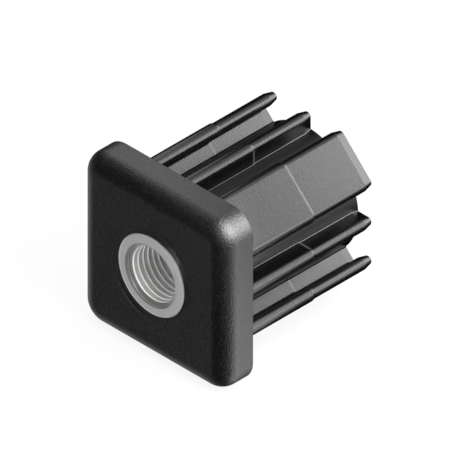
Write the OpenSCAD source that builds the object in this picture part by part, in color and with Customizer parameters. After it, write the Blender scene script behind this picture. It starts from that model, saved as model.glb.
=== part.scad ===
// Threaded insert for the end of a square tube.
// A moulded plastic plug with a square head and a ribbed shank, and a threaded steel bush moulded in.
// The thread axis runs along Y, the head faces -Y and the shank goes into the tube along +Y.
// The origin is on the thread axis, in the plane where the tube's end meets the head.

/* [Tube] */
// Outside width of the square tube that the insert closes
tube_w = 30; // [28:0.5:34]
// Wall thickness of that tube
tube_wall = 1.5; // [1.2:0.1:2]

/* [Head] */
// Thickness of the head, from the tube's end to the front face
head_len = 5.9; // [4.5:0.1:9]
// Radius of the rounded edge round the front face
head_edge_r = 3; // [1:0.1:3.8]
// Radius of the head's four corners, seen from the front
head_corner_r = 3.9; // [3.1:0.1:6]

/* [Shank] */
// Length of the shank behind the head
shank_len = 26.1; // [22:0.1:32]
// Thickness of the fins, webs and corner plates along the leading length
wall = 2.05; // [1.4:0.05:2.6]
// How much each face stands out further along the gripping length
grip_step = 0.15; // [0.05:0.05:0.3]
// Gripping length, from the head to the start of the step
grip_len = 13.7; // [9:0.1:17]
// Length of the small slope from the gripping to the leading size
step_len = 0.5; // [0.2:0.1:1.5]
// Length of the lead-in slope at the rear end
lead_in_len = 1.5; // [0.5:0.1:3]
// How far each face draws in at the very end
lead_in_inset = 0.32; // [0.1:0.01:0.6]
// Distance from the inside corner of the tube to the outer face of a corner plate
corner_setback = 4.33; // [3.6:0.01:5.2]

/* [Boss] */
// Diameter of the round boss in the middle of the shank
boss_d = 21; // [18.5:0.1:23]
// Diameter of the clearance hole behind the bush
rear_hole_d = 11; // [10.4:0.1:12.6]

/* [Bush] */
// Overall length of the bush
bush_len = 20; // [14:0.1:24]
// Diameter of the round collar that shows in the front face
collar_d = 13.5; // [13:0.1:15.5]
// Length of that collar
collar_len = 3; // [1.5:0.1:5]
// How far the collar stands out of the plastic
collar_proud = 0.35; // [0:0.05:0.5]
// Width of the rounding on the collar's outer edge
collar_edge_r = 0.35; // [0.1:0.05:0.8]
// Width across the flats of the hexagon behind the groove
hex_flats = 14; // [13:0.1:15]
// Length of the turned groove between collar and hexagon
groove_len = 2; // [1:0.1:4]
// Diameter at the bottom of that groove
groove_d = 12; // [11.5:0.1:12.8]
// Nominal diameter of the thread
thread_d = 10; // [8:0.5:10]
// Pitch of the thread
thread_pitch = 1; // [0.75:0.25:1.5]
// Diameter of the countersink at each end of the thread
countersink_d = 10.4; // [10.1:0.1:11]

/* [Fit] */
// Shrinkage gap between the bush and the plastic moulded round it
moulded_gap = 0.02; // [0.01:0.01:0.05]

/* [Hidden] */
$fn = 96;

// Sizes over the shank's faces, taken from the inside of the tube
lead_half = tube_w / 2 - tube_wall;
lead_r = wall / 2;
grip_r = lead_r + grip_step;

// The round edges of fins and corner plates all touch the tube wall, so their centres share a line
edge_reach = lead_half - lead_r;
plate_reach = sqrt(2) * lead_half - corner_setback - lead_r;
plate_half = sqrt(2) * edge_reach - plate_reach;

// The walls and the boss are rooted in the middle of the head, and the walls in the boss's ring
root = head_len / 2;
wall_start = (boss_d + rear_hole_d) / 4;
corner_reach = tube_w / 2 - head_corner_r;

// Places along the bush, from its front face, and the height of a 60 degree thread
bush_front = -head_len - collar_proud;
hex_start = collar_len + groove_len;
bore_d = thread_d - 1.0825 * thread_pitch;
countersink_len = (countersink_d - bore_d) / 2;
hex_chamfer = 0.6;
overrun = 1;

// The shank is made a little too long and then cut off square, so all its parts end in one plane
trim = 0.1;
stock_len = shank_len + trim;
stock_inset = lead_in_inset * (lead_in_len + trim) / lead_in_len;

// Half of the outline that every wall of the shank has along its length, rooted in the head
half_outline = [
    [0, -root],
    [grip_r, -root],
    [grip_r, grip_len],
    [lead_r, grip_len + step_len],
    [lead_r, shank_len - lead_in_len],
    [lead_r - stock_inset, stock_len],
    [0, stock_len]
];

// Turns the length axis, drawn upwards, to the row's +Y
module lay_along_y() {
    rotate([-90, 0, 0]) children();
}

// A quarter of the head's edge: straight side, then the rounded front edge
module head_edge_profile(reach) {
    translate([0, -head_len + head_edge_r]) square([reach, head_len - head_edge_r]);
    translate([0, -head_len]) square([reach - head_edge_r, head_edge_r]);
    intersection() {
        translate([reach - head_edge_r, -head_len + head_edge_r]) circle(r = head_edge_r);
        translate([0, -head_len]) square([reach, head_edge_r]);
    }
}

module head_corner() {
    rotate_extrude() head_edge_profile(head_corner_r);
}

// The head's straight edges in one direction, with the front edge rounded on both sides
module head_bar() {
    translate([0, corner_reach, 0]) rotate([90, 0, 0])
        linear_extrude(height = 2 * corner_reach) {
            head_edge_profile(tube_w / 2);
            mirror([1, 0]) head_edge_profile(tube_w / 2);
        }
}

module head() {
    for (turn = [0, 90]) rotate([0, 0, turn]) head_bar();
    for (turn = [0 : 90 : 270]) rotate([0, 0, turn])
        translate([corner_reach, corner_reach, 0]) head_corner();
}

// A flat wall that stands across X and reaches from start to end along X
module flat_wall(start, end) {
    translate([start, 0, 0]) rotate([90, 0, 90])
        linear_extrude(height = end - start) {
            polygon(half_outline);
            mirror([1, 0]) polygon(half_outline);
        }
}

// The full-round edge of a wall
module round_edge() {
    rotate_extrude() polygon(half_outline);
}

// A fin that stands straight out of the boss to the middle of the tube's wall
module fin() {
    flat_wall(wall_start, edge_reach);
    translate([edge_reach, 0, 0]) round_edge();
}

// A diagonal web with a plate across its end that spans the tube's corner
module corner_web() {
    flat_wall(wall_start, plate_reach);
    translate([plate_reach, 0, 0]) rotate([0, 0, 90]) {
        flat_wall(-plate_half, plate_half);
        for (side = [-1, 1]) translate([side * plate_half, 0, 0]) round_edge();
    }
}

module shank() {
    difference() {
        union() {
            translate([0, 0, -root]) cylinder(d = boss_d, h = stock_len + root);
            for (turn = [0 : 90 : 270]) {
                rotate([0, 0, turn]) fin();
                rotate([0, 0, turn + 45]) corner_web();
            }
        }
        translate([-tube_w / 2, -tube_w / 2, shank_len]) cube([tube_w, tube_w, overrun]);
    }
}

// The bush's outside: collar, groove and hexagon, larger by gap all round
module bush_envelope(gap) {
    translate([0, 0, bush_front - gap]) cylinder(d = collar_d + 2 * gap, h = collar_len + 2 * gap);
    translate([0, 0, bush_front]) cylinder(d = groove_d + 2 * gap, h = hex_start);
    translate([0, 0, bush_front + hex_start - gap])
        cylinder(d = (hex_flats + 2 * gap) / cos(30), h = bush_len - hex_start + 2 * gap, $fn = 6);
}

// The turned outline that the bush is cut back to: rounded front edge and chamfered rear corners
module turned_profile() {
    front_r = collar_d / 2;
    corner_r = hex_flats / 2 / cos(30);
    translate([0, bush_front + collar_edge_r]) square([front_r, collar_len]);
    translate([0, bush_front]) square([front_r - collar_edge_r, collar_edge_r]);
    intersection() {
        translate([front_r - collar_edge_r, bush_front + collar_edge_r]) circle(r = collar_edge_r);
        translate([0, bush_front]) square([front_r, collar_edge_r]);
    }
    polygon([
        [0, bush_front + collar_len],
        [corner_r, bush_front + collar_len],
        [corner_r, bush_front + bush_len - hex_chamfer],
        [corner_r - hex_chamfer, bush_front + bush_len],
        [0, bush_front + bush_len]
    ]);
}

module countersink() {
    rotate_extrude() polygon([
        [0, -overrun],
        [countersink_d / 2 + overrun, -overrun],
        [bore_d / 2, countersink_len],
        [0, countersink_len]
    ]);
}

module plug_body() {
    color([0.03, 0.03, 0.03]) lay_along_y() difference() {
        union() {
            head();
            shank();
        }
        bush_envelope(moulded_gap);
        translate([0, 0, bush_front + bush_len]) cylinder(d = rear_hole_d, h = shank_len + overrun);
    }
}

module threaded_bush() {
    color([0.75, 0.75, 0.74]) lay_along_y() difference() {
        intersection() {
            bush_envelope(0);
            rotate_extrude() turned_profile();
        }
        translate([0, 0, bush_front - overrun]) cylinder(d = bore_d, h = bush_len + 2 * overrun);
        translate([0, 0, bush_front]) countersink();
        translate([0, 0, bush_front + bush_len]) mirror([0, 0, 1]) countersink();
    }
}

plug_body();
threaded_bush();
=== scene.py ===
import math

import bmesh
import bpy
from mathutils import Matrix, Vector


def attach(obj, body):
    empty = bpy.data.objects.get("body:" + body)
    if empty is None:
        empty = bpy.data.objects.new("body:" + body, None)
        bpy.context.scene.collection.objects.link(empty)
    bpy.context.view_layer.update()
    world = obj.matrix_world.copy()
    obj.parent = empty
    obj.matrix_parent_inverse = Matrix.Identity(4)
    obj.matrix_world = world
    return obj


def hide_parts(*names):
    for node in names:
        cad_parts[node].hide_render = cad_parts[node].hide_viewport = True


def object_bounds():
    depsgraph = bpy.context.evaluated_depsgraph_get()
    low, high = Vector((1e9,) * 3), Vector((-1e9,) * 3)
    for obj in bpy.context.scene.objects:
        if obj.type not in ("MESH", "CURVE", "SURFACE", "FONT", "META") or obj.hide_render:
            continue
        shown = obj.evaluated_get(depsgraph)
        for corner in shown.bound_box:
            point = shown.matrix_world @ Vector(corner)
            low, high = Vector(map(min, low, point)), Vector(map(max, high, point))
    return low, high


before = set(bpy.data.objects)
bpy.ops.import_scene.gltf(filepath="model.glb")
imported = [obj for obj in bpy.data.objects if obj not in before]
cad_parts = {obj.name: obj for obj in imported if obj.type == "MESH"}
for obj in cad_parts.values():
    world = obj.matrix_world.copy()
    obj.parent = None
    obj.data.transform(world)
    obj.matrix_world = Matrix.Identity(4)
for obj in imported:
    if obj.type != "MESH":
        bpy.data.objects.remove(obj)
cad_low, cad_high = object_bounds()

# The camera. The photograph is a technical view without perspective: the thread axis and the tube's
# width both run at 30 degrees to the picture's lower edge, so the camera is orthographic and looks
# along the diagonal of a cube. Its scale comes from the head, which is 30 mm wide.
MM = 0.001
PHOTO_SIDE = 472
PIXELS_PER_MM = 6.881
PICTURE_CENTRE = Vector((6.308, 5.068, 4.660)) * MM
TOWARD_CAMERA = Vector((1, -1, 1)).normalized()
CAMERA_DISTANCE = 0.3

camera_data = bpy.data.cameras.new("isometric_camera")
camera_data.type = "ORTHO"
camera_data.ortho_scale = PHOTO_SIDE / PIXELS_PER_MM * MM
camera_data.clip_start = 0.01
camera_data.clip_end = 2
camera = bpy.data.objects.new("isometric_camera", camera_data)
camera.location = PICTURE_CENTRE + TOWARD_CAMERA * CAMERA_DISTANCE
camera.rotation_euler = (-TOWARD_CAMERA).to_track_quat("-Z", "Y").to_euler()
bpy.context.scene.collection.objects.link(camera)
bpy.context.scene.camera = camera
bpy.context.scene.view_settings.view_transform = "Standard"


# The studio. The part stands on a pale floor. What it mirrors is a white sweep above it, behind it
# and to the right, and a smaller pale patch low on the left. Softboxes light the head's corner and
# sides from near by and the shank from further off. Everything else that it mirrors is dark.
class Wire:
    """An output of a node. Arithmetic on it adds Math nodes to the tree."""

    def __init__(self, wiring, socket):
        self.wiring = wiring
        self.socket = socket

    def maths(self, operation, *values):
        sockets = dict(enumerate(values))
        return self.wiring.node("ShaderNodeMath", {"operation": operation}, sockets)

    def __add__(self, other):
        return self.maths("ADD", self, other)

    def __radd__(self, other):
        return self.maths("ADD", other, self)

    def __sub__(self, other):
        return self.maths("SUBTRACT", self, other)

    def __rsub__(self, other):
        return self.maths("SUBTRACT", other, self)

    def __mul__(self, other):
        return self.maths("MULTIPLY", self, other)

    def __rmul__(self, other):
        return self.maths("MULTIPLY", other, self)

    def __truediv__(self, other):
        return self.maths("DIVIDE", self, other)

    def __rtruediv__(self, other):
        return self.maths("DIVIDE", other, self)

    def __pow__(self, other):
        return self.maths("POWER", self, other)

    def at_least(self, other):
        return self.maths("MAXIMUM", self, other)

    def at_most(self, other):
        return self.maths("MINIMUM", self, other)

    def rounded(self):
        return self.maths("ROUND", self)

    def rounded_down(self):
        return self.maths("FLOOR", self)

    def size(self):
        return self.maths("ABSOLUTE", self)

    def sine(self):
        return self.maths("SINE", self)

    def cosine(self):
        return self.maths("COSINE", self)


class Wiring:
    """A node tree. node() adds any node: its settings first, then the values or Wires it takes."""

    def __init__(self, tree):
        self.tree = tree

    def node(self, kind, settings, sockets, output=0):
        made = self.tree.nodes.new(kind)
        for name, value in settings.items():
            setattr(made, name, value)
        for key, value in sockets.items():
            if isinstance(value, Wire):
                self.tree.links.new(value.socket, made.inputs[key])
            else:
                made.inputs[key].default_value = value
        return Wire(self, made.outputs[output]) if made.outputs else None

    def other(self, wire, output):
        """Another output of the node that a Wire comes from."""
        return Wire(self, wire.socket.node.outputs[output])

    def rise(self, value, start, stop, smooth=False):
        """0 at start and 1 at stop, with a straight or a soft rise between them."""
        return self.node(
            "ShaderNodeMapRange",
            {"interpolation_type": "SMOOTHSTEP" if smooth else "LINEAR"},
            {"Value": value, "From Min": start, "From Max": stop},
        )

    def ray_kinds(self):
        """Three Wires that are 1 for camera rays, for glossy rays and for transmission rays."""
        camera_rays = self.node("ShaderNodeLightPath", {}, {}, "Is Camera Ray")
        glossy_rays = self.other(camera_rays, "Is Glossy Ray")
        return camera_rays, glossy_rays, self.other(camera_rays, "Is Transmission Ray")


AMBIENT = 1.0
SWEEP_TOWARD = Vector((0.66, 0.42, 0.58)).normalized()
SWEEP_FADE = (0.38, 0.9)
BOUNCE_TOWARD = Vector((-0.76, 0.1, -0.64)).normalized()
BOUNCE_FADE = (0.8, 1.0)
BOUNCE_LEVEL = 0.6
WHITE = (1, 1, 1, 1)

world = bpy.data.worlds.new("studio")
bpy.context.scene.world = world
world.use_nodes = True
world.node_tree.nodes.clear()
studio = Wiring(world.node_tree)
direction = studio.node("ShaderNodeTexCoord", {}, {}, "Generated")


def soft_patch(toward, fade):
    """1 round one direction of the studio, fading softly to 0 away from it."""
    sockets = {0: direction, 1: toward}
    near = studio.node("ShaderNodeVectorMath", {"operation": "DOT_PRODUCT"}, sockets, "Value")
    return studio.rise(near, *fade, smooth=True)


sweep = soft_patch(SWEEP_TOWARD, SWEEP_FADE)
bounce = soft_patch(BOUNCE_TOWARD, BOUNCE_FADE)
mirrored_level = (sweep + bounce * BOUNCE_LEVEL).at_most(1)
camera_ray, glossy_ray, transmission_ray = studio.ray_kinds()
shown_white = camera_ray.at_least(transmission_ray)
seen_level = shown_white.at_least(glossy_ray * mirrored_level)
light_level = (1 - shown_white.at_least(glossy_ray)) * AMBIENT
background = studio.node(
    "ShaderNodeBackground", {}, {"Color": WHITE, "Strength": seen_level + light_level}
)
studio.node("ShaderNodeOutputWorld", {}, {"Surface": background})


def new_material(name):
    material = bpy.data.materials.new(name)
    material.use_nodes = True
    material.node_tree.nodes.clear()
    return material, Wiring(material.node_tree)


FLOOR_HALF = 0.6
FLOOR_COLOUR = (0.85, 0.85, 0.85, 1)
FLOOR_WHITENESS = 0.88

floor_corners = [
    (side_x * FLOOR_HALF, side_y * FLOOR_HALF, cad_low.z)
    for side_x, side_y in ((-1, -1), (1, -1), (1, 1), (-1, 1))
]
floor_mesh = bpy.data.meshes.new("floor")
floor_mesh.from_pydata(floor_corners, [], [(0, 1, 2, 3)])
floor = bpy.data.objects.new("floor", floor_mesh)
bpy.context.scene.collection.objects.link(floor)
floor.visible_glossy = False
floor_paint, paint = new_material("pale_floor")
camera_ray, glossy_ray, transmission_ray = paint.ray_kinds()
matt = paint.node("ShaderNodeBsdfDiffuse", {}, {"Color": FLOOR_COLOUR})
white = paint.node("ShaderNodeEmission", {}, {"Color": WHITE, "Strength": 1.0})
share = camera_ray.at_least(glossy_ray).at_least(transmission_ray) * FLOOR_WHITENESS
mixed = paint.node("ShaderNodeMixShader", {}, {0: share, 1: matt, 2: white})
paint.node("ShaderNodeOutputMaterial", {}, {"Surface": mixed})
floor_mesh.materials.append(floor_paint)


def softbox(name, aim, toward, distance, size, brightness):
    """A rectangular lamp. A brightness of 1 is as bright as a white sheet in plain light."""
    data = bpy.data.lights.new(name, "AREA")
    data.shape = "RECTANGLE"
    data.size, data.size_y = size
    data.energy = math.pi * size[0] * size[1] * brightness
    lamp = bpy.data.objects.new(name, data)
    toward = Vector(toward).normalized()
    lamp.location = Vector(aim) + toward * distance
    lamp.rotation_euler = (-toward).to_track_quat("-Z", "Y").to_euler()
    lamp.visible_camera = False
    bpy.context.scene.collection.objects.link(lamp)


# Each softbox: its name, what it is aimed at, which way it stands from there and how far, its size
# and its brightness.
HEAD_CORNER = (0.013, -0.003, 0.013)
HEAD_SIDE = (0.015, -0.003, -0.007)
HEAD_TOP = (0.0, -0.003, 0.015)
SHANK_MIDDLE = (0.006, 0.013, 0.006)
SHANK_REAR = (0.009, 0.05, 0.009)
softbox("corner_softbox", HEAD_CORNER, (0.70, 0.05, 0.70), 0.04, (0.044, 0.044), 10)
softbox("side_softbox", HEAD_SIDE, (0.70, 0.42, -0.58), 0.03, (0.024, 0.05), 1.9)
softbox("top_softbox", HEAD_TOP, (-0.62, 0.44, 0.65), 0.03, (0.026, 0.026), 1.1)
softbox("key_softbox", SHANK_REAR, (0.6, 0.6, 0.6), 0.1, (0.055, 0.055), 3.6)
softbox("rear_softbox", SHANK_MIDDLE, (0.25, 0.93, 0.25), 0.2, (0.14, 0.14), 2.5)
softbox("right_strip", SHANK_MIDDLE, (0.77, 0.6, 0.2), 0.2, (0.16, 0.08), 2.6)


# The plug body: one moulding in black glass-filled polyamide, with a square head that closes the
# tube and a ribbed shank that is pressed into it. The head is spark-eroded matt, with a low
# swelling on both sides of the bush, and the shank is smoother.
TUBE_HALF = 15.0
HEAD_LEN = 5.9
HEAD_EDGE_R = 3.0
HEAD_CORNER_R = 3.9
BACK_EDGE_R = 0.2
CORNER_STEPS = 24
EDGE_STEPS = 16
SMALL_STEPS = 9


def arc(centre, radius, start, stop, steps):
    made = []
    for step in range(steps + 1):
        turn = math.radians(start + (stop - start) * step / steps)
        made.append((centre[0] + radius * math.cos(turn), centre[1] + radius * math.sin(turn)))
    return made


def rounded_edge(radius, steps):
    """Points of a rounded edge, each with how far it lies in from the side and from the end."""
    return [(radius - a, radius - b) for a, b in arc((0, 0), radius, 0, 90, steps)]


def head_quarter(y, inset):
    """From the middle of the +X side round the corner to the middle of the +Z side."""
    half = TUBE_HALF - inset
    centre = TUBE_HALF - HEAD_CORNER_R
    corner = arc((centre, centre), HEAD_CORNER_R - inset, 0, 90, CORNER_STEPS)
    return [Vector((a, y, b)) for a, b in [(half, 0), *corner, (0, half)]]


back_edge = rounded_edge(BACK_EDGE_R, SMALL_STEPS)
front_edge = rounded_edge(HEAD_EDGE_R, EDGE_STEPS)
head_rings = [head_quarter(-depth, inset) for inset, depth in reversed(back_edge)]
head_rings += [head_quarter(depth - HEAD_LEN, inset) for inset, depth in front_edge]

TUBE_INSIDE_HALF = 13.5
CORNER_SETBACK = 4.33
LEAD_R = 1.025
GRIP_R = 1.175
BOSS_R = 10.5
EDGE_REACH = TUBE_INSIDE_HALF - LEAD_R
PLATE_REACH = math.sqrt(2) * TUBE_INSIDE_HALF - CORNER_SETBACK - LEAD_R
PLATE_HALF = math.sqrt(2) * EDGE_REACH - PLATE_REACH
CREASE_R = 0.2
FIN_EDGE_STEPS = 10
PLATE_EDGE_STEPS = 20
BOSS_STEPS = 12


def boss_crease(wall_r, boss_r):
    """The small fillet between a wall's flank and the boss, and its angle at the axis."""
    height = wall_r + CREASE_R
    reach = math.sqrt((boss_r + CREASE_R) ** 2 - height**2)
    turn = math.degrees(math.atan2(height, reach))
    return arc((reach, height), CREASE_R, 270, 180 + turn, SMALL_STEPS), turn


def fin_side(wall_r, boss_r):
    """A fin's round edge and flank, down to the boss: drawn along the fin's own axis."""
    crease, turn = boss_crease(wall_r, boss_r)
    return arc((EDGE_REACH, 0), wall_r, 0, 90, FIN_EDGE_STEPS) + crease, turn


def web_side(wall_r, boss_r):
    """A corner plate's half outline, its web's flank and the crease at the boss."""
    crease, turn = boss_crease(wall_r, boss_r)
    plate_crease = (PLATE_REACH - wall_r - CREASE_R, wall_r + CREASE_R)
    outline = [(PLATE_REACH + wall_r, 0)]
    outline += arc((PLATE_REACH, PLATE_HALF), wall_r, 0, 180, PLATE_EDGE_STEPS)
    outline += arc(plate_crease, CREASE_R, 0, -90, SMALL_STEPS)
    return outline + crease, turn


def shank_quarter(y, wall_r, boss_r):
    """From the tip of the fin on +X, over the plate in the corner, to the tip of the fin on +Z."""
    fin_outline, fin_turn = fin_side(wall_r, boss_r)
    web_outline, web_turn = web_side(wall_r, boss_r)
    half = list(fin_outline)
    half += arc((0, 0), boss_r, fin_turn, 45 - web_turn, BOSS_STEPS)[1:-1]
    slant = math.sqrt(0.5)
    for reach, aside in reversed(web_outline):
        half.append((slant * (reach + aside), slant * (reach - aside)))
    whole = half + [(b, a) for a, b in reversed(half[:-1])]
    return [Vector((a, y, b)) for a, b in whole]


SHANK_LEN = 26.1
GRIP_LEN = 13.7
STEP_LEN = 0.5
LEAD_IN_LEN = 1.5
LEAD_IN_INSET = 0.32
END_EDGE_R = 0.12

end_r = LEAD_R - LEAD_IN_INSET
shank_rings = [
    shank_quarter(0, GRIP_R, BOSS_R),
    shank_quarter(GRIP_LEN, GRIP_R, BOSS_R),
    shank_quarter(GRIP_LEN + STEP_LEN, LEAD_R, BOSS_R),
    shank_quarter(SHANK_LEN - LEAD_IN_LEN, LEAD_R, BOSS_R),
]
for inset, depth in rounded_edge(END_EDGE_R, SMALL_STEPS):
    shank_rings.append(shank_quarter(SHANK_LEN - depth, end_r - inset, BOSS_R - inset))

COLUMNS = 96
POCKET_R = 6.77
REAR_HOLE_R = 5.5
MOUTH_R = 0.2


def round_ring(radius, y):
    made = []
    for column in range(COLUMNS):
        turn = 2 * math.pi * column / COLUMNS
        made.append(Vector((radius * math.cos(turn), y, radius * math.sin(turn))))
    return made


def round_quarter(radius, y):
    return round_ring(radius, y)[: COLUMNS // 4 + 1]


def add_ring(mesh, points):
    return [mesh.verts.new(point) for point in points]


def skin(mesh, rings, closed):
    """Faces between each ring and the next."""
    for ring, after in zip(rings, rings[1:]):
        count = len(ring)
        for k in range(count if closed else count - 1):
            n = (k + 1) % count
            mesh.faces.new((ring[k], ring[n], after[n], after[k]))


def mesh_from_mm(name, drawn):
    """The mesh drawn in millimetres, as a mesh in metres."""
    bmesh.ops.scale(drawn, vec=(MM, MM, MM), verts=drawn.verts)
    mesh = bpy.data.meshes.new(name)
    drawn.to_mesh(mesh)
    drawn.free()
    return mesh


# One quarter of the plug, from the middle of one fin to the middle of the next, without the bore.
# Its flat faces are the front round the bush, the back of the head and the end of the shank.
quarter = bmesh.new()
head_skin = [add_ring(quarter, ring) for ring in head_rings]
shank_skin = [add_ring(quarter, ring) for ring in shank_rings]
pocket_edge = add_ring(quarter, round_quarter(POCKET_R, -HEAD_LEN))
mouth_edge = add_ring(quarter, round_quarter(REAR_HOLE_R + MOUTH_R, SHANK_LEN))
skin(quarter, head_skin, closed=False)
skin(quarter, shank_skin, closed=False)
quarter.faces.new(head_skin[-1] + pocket_edge[::-1])
quarter.faces.new(head_skin[0] + shank_skin[0][::-1])
quarter.faces.new(shank_skin[-1] + mouth_edge[::-1])
quarter.normal_update()
bmesh.ops.triangulate(quarter, faces=[face for face in quarter.faces if len(face.verts) > 4])
quarter_mesh = mesh_from_mm("plug_quarter", quarter)

BUSH_FRONT = -6.25
BUSH_LEN = 20.0
COLLAR_LEN = 3.0
GROOVE_END = 5.0
GROOVE_R = 6.0
HEX_HALF = 7.0
GAP = 0.02


def hexagon_ring(half, y, limit=math.inf):
    """Corners along X. Where a turned chamfer cuts the corners back, limit is its radius."""
    made = []
    for column in range(COLUMNS):
        turn = 2 * math.pi * column / COLUMNS
        from_flat = turn % (math.pi / 3) - math.pi / 6
        radius = min(half / math.cos(from_flat), limit)
        made.append(Vector((radius * math.cos(turn), y, radius * math.sin(turn))))
    return made


bore_rings = [
    round_ring(POCKET_R, -HEAD_LEN),
    round_ring(POCKET_R, BUSH_FRONT + COLLAR_LEN + GAP),
    round_ring(GROOVE_R + GAP, BUSH_FRONT + COLLAR_LEN + GAP),
    round_ring(GROOVE_R + GAP, BUSH_FRONT + GROOVE_END - GAP),
    hexagon_ring(HEX_HALF + GAP, BUSH_FRONT + GROOVE_END - GAP),
    hexagon_ring(HEX_HALF + GAP, BUSH_FRONT + BUSH_LEN + GAP),
    round_ring(REAR_HOLE_R, BUSH_FRONT + BUSH_LEN + GAP),
]
for inset, depth in rounded_edge(MOUTH_R, SMALL_STEPS):
    bore_rings.append(round_ring(REAR_HOLE_R + inset, SHANK_LEN - depth))
bore = bmesh.new()
skin(bore, [add_ring(bore, ring) for ring in bore_rings], closed=True)
bore_lining = bpy.data.objects.new("plug_bore", mesh_from_mm("plug_bore", bore))
bpy.context.scene.collection.objects.link(bore_lining)

PLASTIC_COLOUR = (0.001, 0.001, 0.001, 1)
FIBRE_COLOUR = (0.014, 0.014, 0.014, 1)
PLASTIC_IOR = 1.7
SHANK_ROUGHNESS = 0.24
HEAD_ROUGHNESS = 0.44
HEAD_SKIN = 0.6
SKIN_ROUGHNESS = 0.42
HEAD_STARTS_AT = (0.02, -0.05)
GRAIN_SCALE = 4.0
GRAIN_DETAIL = 2.0
GRAIN_DEPTH = 0.12
SHANK_GRAIN = 0.15
SPECK_RANGE = (0.5, 0.75)
SHANK_SPECKS = 0.35
FLOW_SCALE = 0.25
FLOW_DETAIL = 2.0
FLOW_ROUGHNESS = 0.06
SWELLING_R = 8.0
SWELLING_HALF_WIDTH = 0.55
SWELLING_HEIGHT = 0.12
SWELLING_ANGLE = math.radians(57)
SWELLING_TAPER = 14


def place_in_mm(wiring):
    """The place on the piece in millimetres, and its three parts."""
    place = wiring.node("ShaderNodeTexCoord", {}, {}, "Object")
    in_mm = wiring.node("ShaderNodeMapping", {}, {"Vector": place, "Scale": [1 / MM] * 3})
    x = wiring.node("ShaderNodeSeparateXYZ", {}, {"Vector": in_mm}, "X")
    return in_mm, x, wiring.other(x, "Y"), wiring.other(x, "Z")


def noise(wiring, place, scale, detail):
    sockets = {"Vector": place, "Scale": scale, "Detail": detail}
    return wiring.node("ShaderNodeTexNoise", {}, sockets)


def mix_colours(wiring, share, first, second):
    """From first to second. The Mix node's sockets for colours are number 6, 7 and 2."""
    sockets = {"Factor": share, 6: first, 7: second}
    return wiring.node("ShaderNodeMix", {"data_type": "RGBA"}, sockets, 2)


def raised(wiring, height):
    """The surface as if it stood out by height, in millimetres."""
    sockets = {"Strength": 1.0, "Distance": 1.0, "Height": height * MM}
    return wiring.node("ShaderNodeBump", {}, sockets)


black_plastic, moulded = new_material("black_plastic")
place, x, y, z = place_in_mm(moulded)
on_head = moulded.rise(y, *HEAD_STARTS_AT)
grain = noise(moulded, place, GRAIN_SCALE, GRAIN_DETAIL)
flow = noise(moulded, place, FLOW_SCALE, FLOW_DETAIL)
specks = moulded.rise(grain, *SPECK_RANGE, smooth=True)
speck_share = specks * (SHANK_SPECKS + on_head * (1 - SHANK_SPECKS))
grain_height = grain * (SHANK_GRAIN + on_head * (1 - SHANK_GRAIN)) * GRAIN_DEPTH
from_axis = (x * x + z * z) ** 0.5
off_middle = (from_axis - SWELLING_R) / SWELLING_HALF_WIDTH
along_swelling = x * math.cos(SWELLING_ANGLE) + z * math.sin(SWELLING_ANGLE)
taper = (along_swelling / from_axis).size() ** SWELLING_TAPER
swelling = (1 - off_middle * off_middle).at_least(0) ** 2 * taper * on_head
head_more = HEAD_ROUGHNESS - SHANK_ROUGHNESS
surface = moulded.node(
    "ShaderNodeBsdfPrincipled",
    {},
    {
        "Base Color": mix_colours(moulded, speck_share, PLASTIC_COLOUR, FIBRE_COLOUR),
        "IOR": PLASTIC_IOR,
        "Roughness": SHANK_ROUGHNESS + (flow - 0.5) * FLOW_ROUGHNESS + on_head * head_more,
        "Normal": raised(moulded, grain_height + swelling * SWELLING_HEIGHT),
        "Coat Weight": on_head * HEAD_SKIN,
        "Coat Roughness": SKIN_ROUGHNESS,
    },
)
moulded.node("ShaderNodeOutputMaterial", {}, {"Surface": surface})


def new_tree(name, inputs):
    """A Geometry Nodes group with these named inputs: {name: (socket type, value)}."""
    tree = bpy.data.node_groups.new(name, "GeometryNodeTree")
    sides = tree.interface
    sides.new_socket("Geometry", in_out="INPUT", socket_type="NodeSocketGeometry")
    sides.new_socket("Geometry", in_out="OUTPUT", socket_type="NodeSocketGeometry")
    for label, (kind, value) in inputs.items():
        socket = sides.new_socket(label, in_out="INPUT", socket_type=kind)
        if kind in ("NodeSocketFloat", "NodeSocketInt"):
            socket.default_value = value
    wiring = Wiring(tree)
    group_input = wiring.node("NodeGroupInput", {}, {})
    return wiring, {label: wiring.other(group_input, label) for label in ["Geometry", *inputs]}


def end_tree(wiring, given, *parts):
    """Joins the parts, makes them real, welds their edges and gives them their material."""
    joined = wiring.node("GeometryNodeJoinGeometry", {}, {})
    for part in parts:
        wiring.tree.links.new(part.socket, joined.socket.node.inputs[0])
    real = wiring.node("GeometryNodeRealizeInstances", {}, {"Geometry": joined})
    sockets = {"Geometry": real, "Distance": given["Weld"]}
    welded = wiring.node("GeometryNodeMergeByDistance", {}, sockets)
    sockets = {"Geometry": welded, "Material": given["Material"]}
    painted = wiring.node("GeometryNodeSetMaterial", {}, sockets)
    wiring.node("NodeGroupOutput", {}, {"Geometry": painted})


def plain_mesh(piece):
    """The piece's mesh as its modifiers leave it."""
    bpy.context.view_layer.update()
    graph = bpy.context.evaluated_depsgraph_get()
    return bpy.data.meshes.new_from_object(piece.evaluated_get(graph))


def grow(name, base_mesh, wiring, inputs):
    """Runs the tree on a new object and leaves the result there as a plain mesh."""
    piece = bpy.data.objects.new(name, base_mesh)
    bpy.context.scene.collection.objects.link(piece)
    modifier = piece.modifiers.new("build", "NODES")
    modifier.node_group = wiring.tree
    for item in wiring.tree.interface.items_tree:
        if item.item_type == "SOCKET" and item.in_out == "INPUT" and item.name in inputs:
            modifier[item.identifier] = inputs[item.name][1]
    grown = plain_mesh(piece)
    piece.modifiers.remove(modifier)
    piece.data = grown
    grown.name = name
    return piece


FLAT_FACES_LEAD = 100


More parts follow.
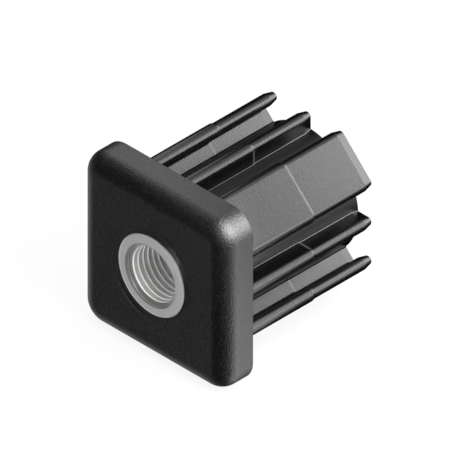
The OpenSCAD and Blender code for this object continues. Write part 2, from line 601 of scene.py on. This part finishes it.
def settle_normals(piece, sharp_above):
    """Turns all faces outwards, and keeps flats flat beside the rounded edges."""
    mesh = bmesh.new()
    mesh.from_mesh(piece.data)
    bmesh.ops.recalc_face_normals(mesh, faces=mesh.faces)
    for face in mesh.faces:
        face.smooth = True
    mesh.to_mesh(piece.data)
    mesh.free()
    piece.data.set_sharp_from_angle(angle=math.radians(sharp_above))
    weighted = piece.modifiers.new("flats", "WEIGHTED_NORMAL")
    weighted.mode = "FACE_AREA"
    weighted.weight = FLAT_FACES_LEAD
    weighted.keep_sharp = True
    settled = plain_mesh(piece)
    piece.modifiers.remove(weighted)
    piece.data = settled
    settled.name = piece.name


# The quarter, turned four times round the thread axis and welded to the bore
WELD = 2e-6
PLUG_SHARP_ABOVE = 11
repeat_inputs = {
    "Turns": ("NodeSocketInt", 4),
    "Bore": ("NodeSocketObject", bore_lining),
    "Weld": ("NodeSocketFloat", WELD),
    "Material": ("NodeSocketMaterial", black_plastic),
}
repeat, given = new_tree("turn_quarter", repeat_inputs)
spots = repeat.node("GeometryNodePoints", {}, {"Count": given["Turns"]})
number = repeat.node("GeometryNodeInputIndex", {}, {})
turned = repeat.node("ShaderNodeCombineXYZ", {}, {"Y": number * 2 * math.pi / given["Turns"]})
rotation = repeat.node("FunctionNodeEulerToRotation", {}, {0: turned})
quarters = repeat.node(
    "GeometryNodeInstanceOnPoints",
    {},
    {"Points": spots, "Instance": given["Geometry"], "Rotation": rotation},
)
lining = repeat.node("GeometryNodeObjectInfo", {}, {"Object": given["Bore"]}, "Geometry")
end_tree(repeat, given, quarters, lining)
quarter_mesh.materials.append(black_plastic)
bore_lining.data.materials.append(black_plastic)
plug_body = grow("plug_body_moulding", quarter_mesh, repeat, repeat_inputs)
bpy.data.objects.remove(bore_lining)
settle_normals(plug_body, PLUG_SHARP_ABOVE)
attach(plug_body, "root")
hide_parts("plug_body")


# The threaded bush: turned from hexagon steel bar, nickel plated and moulded into the plug. Its
# round collar shows in the head, a groove and the hexagon behind it hold it in the plastic, and an
# M10 x 1 thread is tapped right through.
COLLAR_R = 6.75
RIM_R = 1.0
RIM_ANGLE = math.radians(28)
RIM_CHAMFER = 0.13
DISH_DEPTH = 0.02
THREAD_R = 5.0
PITCH = 1.0
THREAD_DEPTH = 1.0825 * PITCH / 2
BORE_R = THREAD_R - THREAD_DEPTH
COUNTERSINK_R = 5.2
COUNTERSINK_ANGLE = math.radians(45)
COUNTERSINK_EDGE_R = 0.35
HEX_CHAMFER = 0.6
TURNED_EDGE_STEPS = 4
FACE_STEPS = 8

bush_rear = BUSH_FRONT + BUSH_LEN
hex_corner_r = HEX_HALF / math.cos(math.pi / 6)
edge_tangent = COUNTERSINK_EDGE_R * math.tan(COUNTERSINK_ANGLE / 2)
cone_start = edge_tangent * math.sin(COUNTERSINK_ANGLE)
dish_inner_r = COUNTERSINK_R + edge_tangent
dish_outer_r = COLLAR_R - RIM_CHAMFER - RIM_R * math.sin(RIM_ANGLE)
rim_depth = RIM_R * (1 - math.cos(RIM_ANGLE)) + RIM_CHAMFER


def countersink_edge(face_y, inward):
    """Rings of the rounded edge between an end face and the countersink."""
    made = []
    for step in range(TURNED_EDGE_STEPS, -1, -1):
        turn = COUNTERSINK_ANGLE * step / TURNED_EDGE_STEPS
        radius = dish_inner_r - COUNTERSINK_EDGE_R * math.sin(turn)
        depth = COUNTERSINK_EDGE_R * (1 - math.cos(turn))
        made.append(round_ring(radius, face_y + inward * depth))
    return made


bush_rings = countersink_edge(BUSH_FRONT, 1)
for step in range(1, FACE_STEPS):
    share = step / FACE_STEPS
    radius = dish_inner_r + (dish_outer_r - dish_inner_r) * share
    dished = DISH_DEPTH * 4 * share * (1 - share)
    bush_rings.append(round_ring(radius, BUSH_FRONT + dished))
for step in range(FACE_STEPS + 1):
    turn = RIM_ANGLE * step / FACE_STEPS
    radius = dish_outer_r + RIM_R * math.sin(turn)
    bush_rings.append(round_ring(radius, BUSH_FRONT + RIM_R * (1 - math.cos(turn))))
bush_rings += [
    round_ring(COLLAR_R, BUSH_FRONT + rim_depth),
    round_ring(COLLAR_R, BUSH_FRONT + COLLAR_LEN),
    round_ring(GROOVE_R, BUSH_FRONT + COLLAR_LEN),
    round_ring(GROOVE_R, BUSH_FRONT + GROOVE_END),
    hexagon_ring(HEX_HALF, BUSH_FRONT + GROOVE_END),
]
for step in range(TURNED_EDGE_STEPS + 1):
    cut = HEX_CHAMFER * step / TURNED_EDGE_STEPS
    bush_rings.append(hexagon_ring(HEX_HALF, bush_rear - HEX_CHAMFER + cut, hex_corner_r - cut))
bush_rings += countersink_edge(bush_rear, -1)[::-1]
outside = bmesh.new()
skin(outside, [add_ring(outside, ring) for ring in bush_rings], closed=True)
outside_mesh = mesh_from_mm("bush_outside", outside)

STEEL_COLOUR = (0.82, 0.82, 0.81, 1)
# Painted shade: the countersink is painted darker than the rest of the steel.
COUNTERSINK_SHADE_COLOUR = (0.5, 0.5, 0.49, 1)
# Painted highlight: the thread's crests are painted near white.
CREST_HIGHLIGHT_COLOUR = (0.96, 0.96, 0.95, 1)
FACE_METALLIC = 0.68
COUNTERSINK_MORE = 0.1
DEEP_LESS = 0.15
WALL_MORE = 0.3
CREST_LESS = 0.7
STEEL_ROUGHNESS = 0.34
STAIN_ROUGHNESS = 0.12
STAIN_SCALE = 1.2
STAIN_DETAIL = 3.0
TOOL_MARK_PITCH = 0.11
TOOL_MARK_HEIGHT = 0.0012
IN_BORE_BELOW = (COUNTERSINK_R + 0.08, COUNTERSINK_R)
DEEP_BEHIND = (BUSH_FRONT + 0.6, BUSH_FRONT + 1.0)
CREST_BELOW = (BORE_R + 0.05, BORE_R + 0.01)
WALL_BEYOND = (COLLAR_R - 0.06, COLLAR_R)

plated_steel, plating = new_material("plated_steel")
place, x, y, z = place_in_mm(plating)
from_axis = (x * x + z * z) ** 0.5
tool_marks = (from_axis * (2 * math.pi / TOOL_MARK_PITCH)).sine()
stain = noise(plating, place, STAIN_SCALE, STAIN_DETAIL)
in_bore = plating.rise(from_axis, *IN_BORE_BELOW)
deep = plating.rise(y, *DEEP_BEHIND)
# Painted highlight along the thread's crests: near white and much less metallic, so that they show
# as bright lines.
painted_crest_highlight = plating.rise(from_axis, *CREST_BELOW, smooth=True)
on_wall = plating.rise(from_axis, *WALL_BEYOND)
# Painted shade: near the front the countersink is painted darker, and deeper in the thread keeps
# the steel colour.
steel_with_shaded_countersink = mix_colours(plating, in_bore * (1 - deep), STEEL_COLOUR, COUNTERSINK_SHADE_COLOUR)
bore_metallic = in_bore * (COUNTERSINK_MORE - deep * DEEP_LESS)
surface = plating.node(
    "ShaderNodeBsdfPrincipled",
    {},
    {
        "Base Color": mix_colours(plating, painted_crest_highlight, steel_with_shaded_countersink, CREST_HIGHLIGHT_COLOUR),
        "Metallic": FACE_METALLIC + bore_metallic + on_wall * WALL_MORE - painted_crest_highlight * CREST_LESS,
        "Roughness": STEEL_ROUGHNESS + (stain - 0.5) * STAIN_ROUGHNESS,
        "Normal": raised(plating, tool_marks * TOOL_MARK_HEIGHT),
    },
)
plating.node("ShaderNodeOutputMaterial", {}, {"Surface": surface})

# The tapped thread: a flat sheet rolled into the bore, whose rows follow the helix and whose radius
# comes from the distance to the nearest crest. At both ends it opens into the countersink.
ROWS_PER_PITCH = 16
HALF_CREST = 1 / 8
FLANK_SLOPE = math.sqrt(3)
ROW_TOLERANCE = 1e-4
BUSH_SHARP_ABOVE = 40
thread_inputs = {
    "Columns": ("NodeSocketInt", COLUMNS),
    "Rows per pitch": ("NodeSocketInt", ROWS_PER_PITCH),
    "Pitch": ("NodeSocketFloat", PITCH * MM),
    "Bore radius": ("NodeSocketFloat", BORE_R * MM),
    "Thread radius": ("NodeSocketFloat", THREAD_R * MM),
    "Countersink radius": ("NodeSocketFloat", COUNTERSINK_R * MM),
    "Front": ("NodeSocketFloat", BUSH_FRONT * MM),
    "Length": ("NodeSocketFloat", BUSH_LEN * MM),
    "Edge": ("NodeSocketFloat", cone_start * MM),
    "Weld": ("NodeSocketFloat", WELD),
    "Material": ("NodeSocketMaterial", plated_steel),
}
tap, given = new_tree("tap_thread", thread_inputs)
turns = (given["Length"] / given["Pitch"]).rounded() + 1
rows = turns * given["Rows per pitch"]
sheet = tap.node(
    "GeometryNodeMeshGrid",
    {},
    {"Size X": 1.0, "Size Y": 1.0, "Vertices X": given["Columns"] + 1, "Vertices Y": rows + 1},
)
sheet_place = tap.node("GeometryNodeInputPosition", {}, {})
across = tap.node("ShaderNodeSeparateXYZ", {}, {"Vector": sheet_place}, "X")
onward = tap.other(across, "Y")
share_round = across + 0.5
angle = share_round * (-2 * math.pi)
pitches = (onward + 0.5) * turns - 1
bush_back = given["Front"] + given["Length"]
helix_y = given["Front"] + (pitches + share_round) * given["Pitch"]
row_y = helix_y.at_least(given["Front"] + given["Edge"]).at_most(bush_back - given["Edge"])
phase = pitches - (pitches + ROW_TOLERANCE).rounded_down()
off_crest = (phase - 0.5).size() * given["Pitch"]
flank = given["Bore radius"] + (off_crest - given["Pitch"] * HALF_CREST) * FLANK_SLOPE
cut_r = flank.at_least(given["Bore radius"]).at_most(given["Thread radius"])
front_cone = given["Countersink radius"] - (row_y - given["Front"])
rear_cone = given["Countersink radius"] - (bush_back - row_y)
row_r = cut_r.at_least(front_cone).at_least(rear_cone)
rolled = tap.node(
    "ShaderNodeCombineXYZ",
    {},
    {"X": row_r * angle.cosine(), "Y": row_y, "Z": row_r * angle.sine()},
)
helix = tap.node("GeometryNodeSetPosition", {}, {"Geometry": sheet, "Position": rolled})
end_tree(tap, given, given["Geometry"], helix)
outside_mesh.materials.append(plated_steel)
bush = grow("threaded_steel_bush", outside_mesh, tap, thread_inputs)
settle_normals(bush, BUSH_SHARP_ABOVE)
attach(bush, "root")
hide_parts("threaded_bush")
